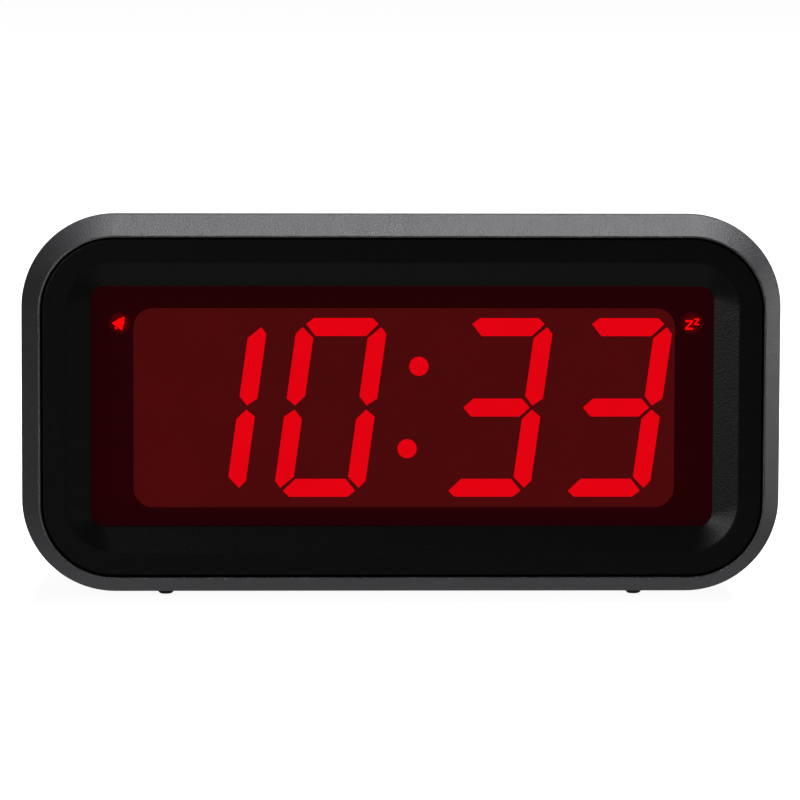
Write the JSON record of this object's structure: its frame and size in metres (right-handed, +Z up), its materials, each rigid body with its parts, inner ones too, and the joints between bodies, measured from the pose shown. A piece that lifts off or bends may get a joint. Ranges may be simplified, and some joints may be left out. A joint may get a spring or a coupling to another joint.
{
  "type": "digital alarm clock",
  "caption": "Landscape bedside clock with rounded corners, chamfered satin rim, sloped black bezel and a lit red segment display behind a dark red window.",
  "frame": {"origin": "centre of the footprint, on the plane of the feet's undersides", "axes": "+X to the right of a person facing the display, +Y to the rear, +Z up"},
  "size_m": [0.13, 0.04, 0.0661],
  "materials": {
    "satin_grey_plastic": "satin, fine grain",
    "gloss_black_plastic": "semi-gloss",
    "matte_black_plastic": "fine spark-eroded texture",
    "red_acrylic": "polished, transparent red",
    "dark_printed_film": "printed film",
    "dark_red_display_face": "matte",
    "lit_red_segment": "diffusing, lit",
    "black_rubber": "matte",
    "zinc_plated_steel": "zinc plated",
    "nickel_plated_spring": "nickel plated",
    "green_circuit_board": "solder resist",
    "chip_epoxy": "moulded epoxy",
    "aluminium_can": "drawn can",
    "capacitor_sleeve": "shrink sleeve",
    "grey_button_plastic": "fine texture",
    "cell_wrap": "printed shrink wrap, no lettering",
    "red_wire_insulation": "PVC",
    "black_wire_insulation": "PVC",
    "grey_ribbon_cable": "PVC"
  },
  "bodies": {
    "clock": {"alarm_led": "lit_red_segment", "alarm_set_switch": "chip_epoxy", "battery_cell_lower_left": "cell_wrap", "battery_cell_lower_right": "cell_wrap", "battery_cell_upper_left": "cell_wrap", "battery_cell_upper_right": "cell_wrap", "battery_spring_lower_left": "nickel_plated_spring", "battery_spring_lower_right": "nickel_plated_spring", "battery_spring_upper_left": "nickel_plated_spring", "battery_spring_upper_right": "nickel_plated_spring", "board_screw_left": "zinc_plated_steel", "board_screw_right": "zinc_plated_steel", "buzzer": "chip_epoxy", "capacitor_buzzer": "capacitor_sleeve", "capacitor_main": "capacitor_sleeve", "case_screw_left": "zinc_plated_steel", "case_screw_right": "zinc_plated_steel", "crystal": "aluminium_can", "display_board": "green_circuit_board", "display_ribbon": "grey_ribbon_cable", "foot_front_left": "black_rubber", "foot_front_right": "black_rubber", "foot_rear_left": "black_rubber", "foot_rear_right": "black_rubber", "front_bezel": "gloss_black_plastic", "front_frame": "satin_grey_plastic", "hour_switch": "chip_epoxy", "lower_middle_contact": "nickel_plated_spring", "main_board": "green_circuit_board", "mask_film": "dark_printed_film", "microcontroller": "chip_epoxy", "minute_switch": "chip_epoxy", "negative_terminal": "nickel_plated_spring", "positive_terminal": "nickel_plated_spring", "rear_case": "matte_black_plastic", "right_link_contact": "nickel_plated_spring", "segment_lights": "lit_red_segment", "segment_panel": "dark_red_display_face", "slide_switch_body": "zinc_plated_steel", "snooze_led": "lit_red_segment", "snooze_switch": "chip_epoxy", "time_set_switch": "chip_epoxy", "upper_middle_contact": "nickel_plated_spring", "window_lens": "red_acrylic", "wire_black": "black_wire_insulation", "wire_red": "red_wire_insulation"},
    "battery_door_body": {"battery_door": "matte_black_plastic"},
    "snooze_bar_body": {"snooze_bar": "gloss_black_plastic", "snooze_stem": "grey_button_plastic"},
    "slide_switch_knob_body": {"slide_switch_knob": "grey_button_plastic"},
    "time_set_button_body": {"time_set_button": "grey_button_plastic", "time_set_stem": "grey_button_plastic"},
    "alarm_set_button_body": {"alarm_set_button": "grey_button_plastic", "alarm_set_stem": "grey_button_plastic"},
    "hour_button_body": {"hour_button": "grey_button_plastic", "hour_stem": "grey_button_plastic"},
    "minute_button_body": {"minute_button": "grey_button_plastic", "minute_stem": "grey_button_plastic"}
  },
  "joints": [
    {"name": "battery_door_hinge", "type": "hinge", "parent": "clock", "child": "battery_door_body", "pos_m": [0, 0.0187, 0.0078], "axis": [-1, 0, 0], "range_deg": [0, 90]},
    {"name": "snooze_press", "type": "slide", "parent": "clock", "child": "snooze_bar_body", "axis": [0, 0, -1], "range_m": [0, 0.0008], "stiffness_N_per_m": 400, "springref_m": -0.0015},
    {"name": "alarm_switch_slide", "type": "slide", "parent": "clock", "child": "slide_switch_knob_body", "axis": [1, 0, 0], "range_m": [0, 0.002]},
    {"name": "time_set_press", "type": "slide", "parent": "clock", "child": "time_set_button_body", "axis": [0, -1, 0], "range_m": [0, 0.0005], "stiffness_N_per_m": 600, "springref_m": -0.001},
    {"name": "alarm_set_press", "type": "slide", "parent": "clock", "child": "alarm_set_button_body", "axis": [0, -1, 0], "range_m": [0, 0.0005], "stiffness_N_per_m": 600, "springref_m": -0.001},
    {"name": "hour_press", "type": "slide", "parent": "clock", "child": "hour_button_body", "axis": [0, -1, 0], "range_m": [0, 0.0005], "stiffness_N_per_m": 600, "springref_m": -0.001},
    {"name": "minute_press", "type": "slide", "parent": "clock", "child": "minute_button_body", "axis": [0, -1, 0], "range_m": [0, 0.0005], "stiffness_N_per_m": 600, "springref_m": -0.001}
  ]
}
